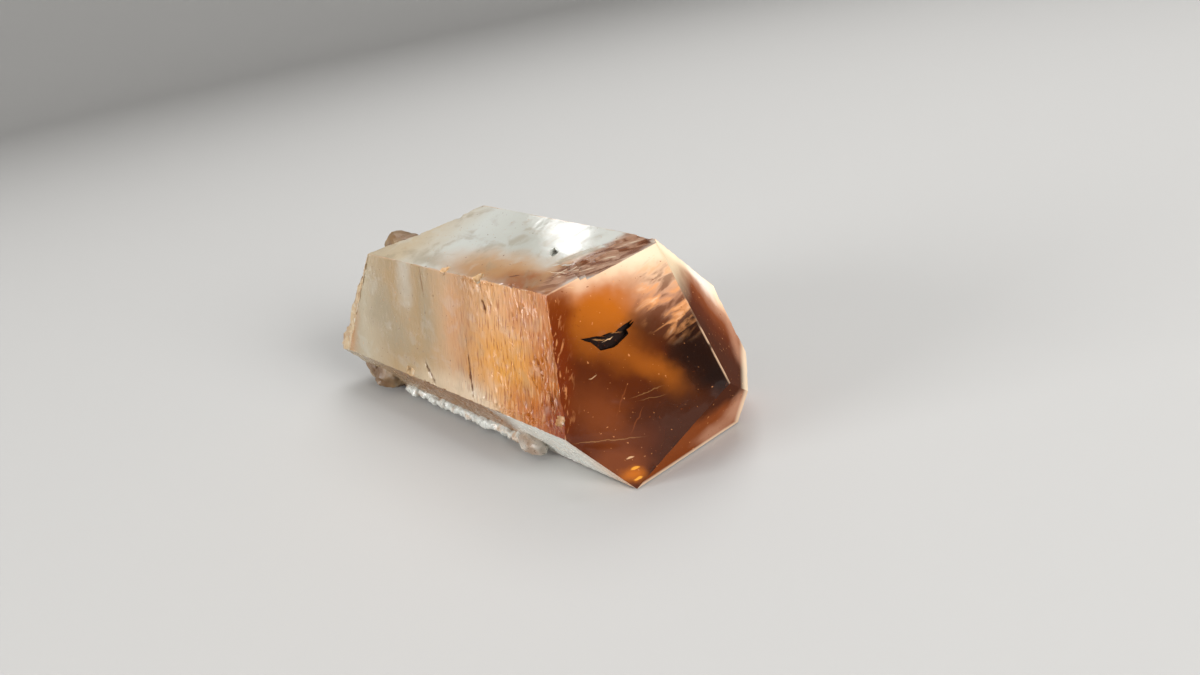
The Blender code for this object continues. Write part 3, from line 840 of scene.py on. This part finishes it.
class Paint:
    """The nodes of one material, in millimetres of the crystal's own frame and of one flat face."""

    def __init__(self, look, face=None):
        self.look = look
        self.material = bpy.data.materials.new("quartz_" + look)
        self.material.use_nodes = True
        self.tree = self.material.node_tree
        self.shader = self.tree.nodes["Principled BSDF"]
        place = self.node("ShaderNodeTexCoord").outputs["Object"]
        self.solid = self.vector("MULTIPLY_ADD", place, (1.0 / MM,) * 3, tuple(-CENTRING))
        self.flat = self.solid
        if face:
            joined = self.node("ShaderNodeCombineXYZ")
            for index, direction in enumerate(AXES[face][1:]):
                self.link(self.measure(direction), joined.inputs[index])
            self.flat = joined.outputs[0]
        self.marks_place = self.wobbled(*MARKS_WOBBLE)
        self.lines_place = self.wobbled(*LINES_WOBBLE)

    def node(self, kind, **settings):
        """A new node with these settings."""
        made = self.tree.nodes.new(kind)
        for key, value in settings.items():
            setattr(made, key, value)
        return made

    def link(self, start, end):
        """Joins two sockets."""
        self.tree.links.new(start, end)

    def feed(self, sockets, values):
        """Links each socket, or sets a plain value."""
        for socket, value in zip(sockets, values):
            if isinstance(value, bpy.types.NodeSocket):
                self.link(value, socket)
            else:
                socket.default_value = value

    def vector(self, operation, *values, out="Vector"):
        """The result of vector arithmetic."""
        made = self.node("ShaderNodeVectorMath", operation=operation)
        self.feed(made.inputs, values)
        return made.outputs[out]

    def maths(self, operation, *values):
        """The result of plain arithmetic."""
        made = self.node("ShaderNodeMath", operation=operation)
        self.feed(made.inputs, values)
        return made.outputs[0]

    def noise(self, place, scale, detail, distortion, out="Fac"):
        """Noise with a number of waves per mm along each direction."""
        mapped = self.node("ShaderNodeMapping")
        self.feed((mapped.inputs["Vector"], mapped.inputs["Scale"]), (place, scale))
        made = self.node("ShaderNodeTexNoise")
        sockets = [made.inputs[name] for name in ("Vector", "Scale", "Detail", "Distortion")]
        self.feed(sockets, (mapped.outputs[0], 1.0, detail, distortion))
        return made.outputs[out]

    def wobbled(self, grain, size):
        """The place on the face, pushed about so that what is drawn there gets an uneven edge."""
        wobble = self.noise(self.solid, (grain,) * 3, 3.0, 0.0, out="Color")
        moved = self.vector("MULTIPLY_ADD", wobble, (size, size, 0.0), (-size / 2.0, -size / 2.0, 0.0))
        return self.vector("ADD", self.flat, moved)

    def ramp(self, value, low, high, start=0.0, end=1.0, shape="SMOOTHSTEP"):
        """A number that goes from start to end while the value goes from low to high."""
        made = self.node("ShaderNodeMapRange", interpolation_type=shape)
        self.feed(made.inputs, (value, low, high, start, end))
        return made.outputs[0]

    def first(self, place):
        """The first coordinate of a place."""
        parts = self.node("ShaderNodeSeparateXYZ")
        self.link(place, parts.inputs[0])
        return parts.outputs[0]

    def measure(self, direction):
        """How far along a direction of the crystal's own frame a point lies."""
        return self.vector("DOT_PRODUCT", self.solid, tuple(direction), out="Value")

    def framed(self, place, centre, turn, sizes):
        """The place as seen from a centre, turned, and in units of the sizes."""
        mapped = self.node("ShaderNodeMapping", vector_type="TEXTURE")
        self.feed(mapped.inputs, (place, centre, (0.0, 0.0, turn), sizes))
        return mapped.outputs[0]

    def turned(self, degrees):
        """The place on the face, turned."""
        return self.framed(self.flat, (0.0, 0.0, 0.0), math.radians(degrees), (1.0, 1.0, 1.0))

    def mask(self, place, low, high, strength):
        """Full strength within low of the place's middle, and nothing beyond high."""
        return self.ramp(self.vector("LENGTH", place, out="Value"), low, high, strength, 0.0)

    def spot(self, centre, sizes, strength, soft=0.8, turn=0.0):
        """A mask that is full at the centre and fades out past the half sizes."""
        place = self.framed(self.marks_place, (*centre, 0.0)[:3], math.radians(turn), (*sizes, 1.0)[:3])
        return self.mask(place, 1.0 - soft, 1.0 + soft, strength)

    def line(self, start, end, half_width, strength):
        """A mask along a thin, slightly unsteady line."""
        run = Vector(end) - Vector(start)
        middle = (*(Vector(end) + Vector(start)) / 2.0, 0.0)
        sizes = (run.length / 2.0, half_width, 1.0)
        place = self.framed(self.lines_place, middle, math.atan2(run.y, run.x), sizes)
        return self.mask(place, *LINE_EDGE, strength)

    def rim(self, others, width):
        """A mask along the edges that a flat face shares with the others."""
        nearest = None
        for other in others:
            depth = self.maths("SUBTRACT", FACES[other][2], self.measure(AXES[other][0]))
            nearest = depth if nearest is None else self.maths("MINIMUM", nearest, depth)
        return self.ramp(nearest, RIM_FULL * width, width, 1.0, 0.0)

    def stepped(self, place, stops):
        """A colour that changes along one number, given as pairs of a value and a colour name."""
        low, high = stops[0][0], stops[-1][0]
        made = self.node("ShaderNodeValToRGB")
        elements = made.color_ramp.elements
        while len(elements) < len(stops):
            elements.new(0.5)
        for element, (value, colour) in zip(elements, stops):
            element.position = (value - low) / (high - low)
            element.color = COLOURS[colour]
        self.link(self.ramp(place, low, high, shape="LINEAR"), made.inputs[0])
        return made.outputs[0]

    def cover(self, below, shade, share):
        """A colour with a share of a named one over it."""
        made = self.node("ShaderNodeMix", data_type="RGBA")
        self.feed((made.inputs[0], made.inputs[6], made.inputs[7]), (share, below, COLOURS[shade]))
        return made.outputs[2]

    def layers(self, colour, value, shades, zone=1.0):
        """A colour with others over it inside a zone, each as the value goes through its range."""
        for shade, *spread in shades:
            share = self.maths("MULTIPLY", self.ramp(value, *spread), zone)
            colour = self.cover(colour, shade, share)
        return colour

    def draw(self, colour, table, mask):
        """The soft marks or thin lines that a table has for this look."""
        for shade, *shape in table.get(self.look, ()):
            colour = self.cover(colour, shade, mask(*shape))
        return colour

    def finish(self, colour, spread, height):
        """Joins colour and fine bumps to the shader, and a roughness that follows the spread."""
        inputs = self.shader.inputs
        roughness = self.ramp(spread, *NOISE_RANGE, *ROUGHNESS.get(self.look, PLAIN_ROUGHNESS))
        self.feed((inputs["Base Color"], inputs["Roughness"]), (colour, roughness))
        inputs["IOR"].default_value = IOR
        inputs["Specular IOR Level"].default_value = SHINE.get(self.look, PLAIN_SHINE)
        inputs["Transmission Weight"].default_value = TRANSMISSION.get(self.look, PLAIN_TRANSMISSION)
        bump = self.node("ShaderNodeBump")
        bump.inputs["Strength"].default_value = 1.0
        bump.inputs["Distance"].default_value = BUMP_HEIGHTS.get(self.look, PLAIN_BUMPS) * MM
        self.link(height, bump.inputs["Height"])
        self.link(bump.outputs[0], inputs["Normal"])
        if self.look != "crust":
            volume = self.node("ShaderNodeVolumeAbsorption")
            self.feed(volume.inputs, (ABSORPTION_COLOUR, ABSORPTION_DENSITY))
            self.link(volume.outputs[0], self.tree.nodes["Material Output"].inputs["Volume"])
        return self.material


def body_colour(paint):
    """The crystal's colour along its length, cloudy as smoky quartz is."""
    cloud = paint.noise(paint.solid, *BODY_CLOUD)
    drift = paint.ramp(cloud, *NOISE_RANGE, -BODY_DRIFT, BODY_DRIFT)
    return paint.stepped(paint.maths("ADD", paint.first(paint.solid), drift), BODY_COLOURS)


def add_zone(paint, colour, first_shade, zone, turn, lines, shades):
    """A zone of close lines or wisps."""
    zone = paint.spot(*zone)
    if first_shade:
        colour = paint.cover(colour, first_shade, zone)
    return paint.layers(colour, paint.noise(paint.turned(turn), *lines), shades, zone)


def add_painted_glow_and_highlights(paint, colour, cloud):
    """The painted glow of light from behind on the rims of the tip's outer faces, and painted highlights on
    the edges that catch the light.
    """
    if paint.look in BACKLIT_RIM_GLOW:
        # painted glow of light from behind along the rims
        others, width, shade, strength = BACKLIT_RIM_GLOW[paint.look]
        colour = paint.cover(colour, shade, paint.maths("MULTIPLY", paint.rim(others, width), strength))
    if paint.look in EDGE_HIGHLIGHTS:
        # painted highlights along the edges
        rim = paint.rim(EDGE_HIGHLIGHTS[paint.look], EDGE_WIDTH)
        colour = paint.layers(colour, cloud, EDGE_HIGHLIGHT_SHADES, rim)
    return colour


def face_material(name):
    """The look of one flat face: its colour and marks, its own streaks of painted glints, and its band or
    veil.
    """
    paint = Paint(name, name)
    if name in FACE_COLOURS:
        colour = paint.stepped(paint.first(paint.marks_place), FACE_COLOURS[name])
    else:
        colour = body_colour(paint)
    colour = paint.draw(colour, MARKS, paint.spot)
    cloud = paint.noise(paint.solid, *CLOUD)
    if not name.endswith("_tip"):
        colour = paint.layers(colour, cloud, CLOUD_SHADES, CLOUDING.get(name, PLAIN_CLOUDING))
    height = paint.noise(paint.flat, *(STREAK_LINES if name in STRIATED_FACES else SWELL))
    # painted glints and darker lines along the striae
    if name in STRIATED_FACES:
        strength = 1.0 if name == "striated" else FAINT_STREAKS
        zone = paint.spot(*STREAK_ZONE, strength, STREAK_SOFTNESS)
        colour = paint.layers(colour, height, STREAK_GLINTS_AND_DARKS, zone)
    for zone in ZONES.get(name, ()):
        colour = add_zone(paint, colour, *zone)
    colour = paint.draw(colour, LINES, paint.line)
    # dark spots, and specks of painted glint
    colour = paint.layers(colour, paint.noise(paint.solid, *SPECK_GRAIN), DUST_AND_GLINT_SPECKS)
    return paint.finish(add_painted_glow_and_highlights(paint, colour, cloud), cloud, height)


def add_rough_layers(paint, colour):
    """The stains and grain of a rough look, and the noise of the grain."""
    for values, shades in ROUGH_LAYERS[paint.look]:
        grain = paint.noise(paint.solid, *values)
        colour = paint.layers(colour, grain, shades)
    return colour, grain


def broken_material():
    """The broken end: matte, pale, stained brown in places and darker on its lumps."""
    paint = Paint("broken")
    colour, grain = add_rough_layers(paint, paint.cover(body_colour(paint), "straw", BROKEN_STRAW))
    for centre, sizes, _ in END_LUMPS:
        wide = tuple(size * LUMP_STAIN_REACH for size in sizes)
        colour = paint.cover(colour, "bark", paint.spot(centre, wide, *LUMP_STAIN))
    return paint.finish(colour, grain, grain)


def pit_material():
    """The jagged pit: almost black, with a sliver of gold on its wall."""
    paint = Paint("pit", "front_tip")
    colour, grain = add_rough_layers(paint, COLOURS["soot"])
    return paint.finish(paint.draw(colour, LINES, paint.line), grain, grain)


def crust_material():
    """White sugary grains, stained in places, and a brown block."""
    paint = Paint("crust")
    colour, grain = add_rough_layers(paint, COLOURS["milk"])
    colour = paint.cover(colour, "clay", paint.spot(*LEDGE_BLOCK, *BLOCK_STAIN))
    return paint.finish(colour, grain, grain)


def material_for(name):
    """The material of one look."""
    if name == "broken":
        return broken_material()
    if name == "pit":
        return pit_material()
    return face_material(name)


def floor_material():
    """One even pale colour."""
    material = bpy.data.materials.new("floor")
    material.use_nodes = True
    shader = material.node_tree.nodes["Principled BSDF"]
    shader.inputs["Base Color"].default_value = FLOOR_COLOUR
    shader.inputs["Roughness"].default_value = FLOOR_ROUGHNESS
    return material


def make_floor():
    """A wide pale floor, just under the crystal, that sweeps up into a round wall."""
    builder = bmesh.new()
    rings = [(FLOOR_RADIUS / 2.0, 0.0), (FLOOR_RADIUS, 0.0)]
    for step in range(1, SWEEP_STEPS + 1):
        angle = math.radians(90.0 * step / SWEEP_STEPS)
        rings.append((FLOOR_RADIUS + SWEEP * math.sin(angle), SWEEP * (1.0 - math.cos(angle))))
    rings.append((FLOOR_RADIUS + SWEEP, WALL_HEIGHT))
    points = [builder.verts.new((radius, 0.0, height)) for radius, height in [(0.0, 0.0), *rings]]
    lines = [builder.edges.new(pair) for pair in zip(points, points[1:])]
    bmesh.ops.spin(
        builder, geom=points + lines, cent=(0, 0, 0), axis=(0, 0, 1), angle=math.tau,
        steps=FLOOR_SIDES, use_merge=True,
    )
    bmesh.ops.remove_doubles(builder, verts=builder.verts, dist=FLOOR_WELD)
    floor = object_from("floor", builder)
    floor.data.polygons.foreach_set("use_smooth", [True] * len(floor.data.polygons))
    floor.location.z = -FLOOR_GAP
    floor.data.materials.append(floor_material())


def add_light(name, direction, distance, size, power):
    """A soft square lamp that looks at the crystal from the given direction."""
    data = bpy.data.lights.new(name, "AREA")
    data.size = size
    data.energy = power
    lamp = bpy.data.objects.new(name, data)
    way = Vector(direction).normalized()
    lamp.location = way * distance + AIM
    lamp.rotation_euler = way.to_track_quat("Z", "Y").to_euler()
    bpy.context.scene.collection.objects.link(lamp)


def light_scene():
    """Soft lamps above and on both sides, a small weak one behind for the glare, and even light."""
    for values in LIGHTS:
        add_light(*values)
    world = bpy.data.worlds.new("studio")
    world.use_nodes = True
    background = world.node_tree.nodes["Background"]
    background.inputs["Color"].default_value = WORLD_COLOUR
    background.inputs["Strength"].default_value = WORLD_STRENGTH
    bpy.context.scene.world = world
    bpy.context.scene.view_settings.view_transform = "Standard"


def add_camera():
    """The camera at the photograph's viewing angle."""
    data = bpy.data.cameras.new("camera")
    data.lens = CAMERA_LENS
    data.sensor_width = SENSOR
    data.clip_start = CLIP_START
    camera = bpy.data.objects.new("camera", data)
    turn = Matrix((CAMERA_RIGHT, CAMERA_UP, CAMERA_BACK)).transposed().to_4x4()
    camera.matrix_world = Matrix.Translation(CAMERA_AT * MM) @ turn
    bpy.context.scene.collection.objects.link(camera)
    bpy.context.scene.camera = camera


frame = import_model()

crystal = make_crystal()
for look in LOOKS:
    crystal.data.materials.append(material_for(look))
crust = make_crust()
crust.data.materials.append(crust_material())
for piece in (crystal, crust):
    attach(piece, "root")
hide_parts("quartz_crystal")

make_floor()
light_scene()
add_camera()
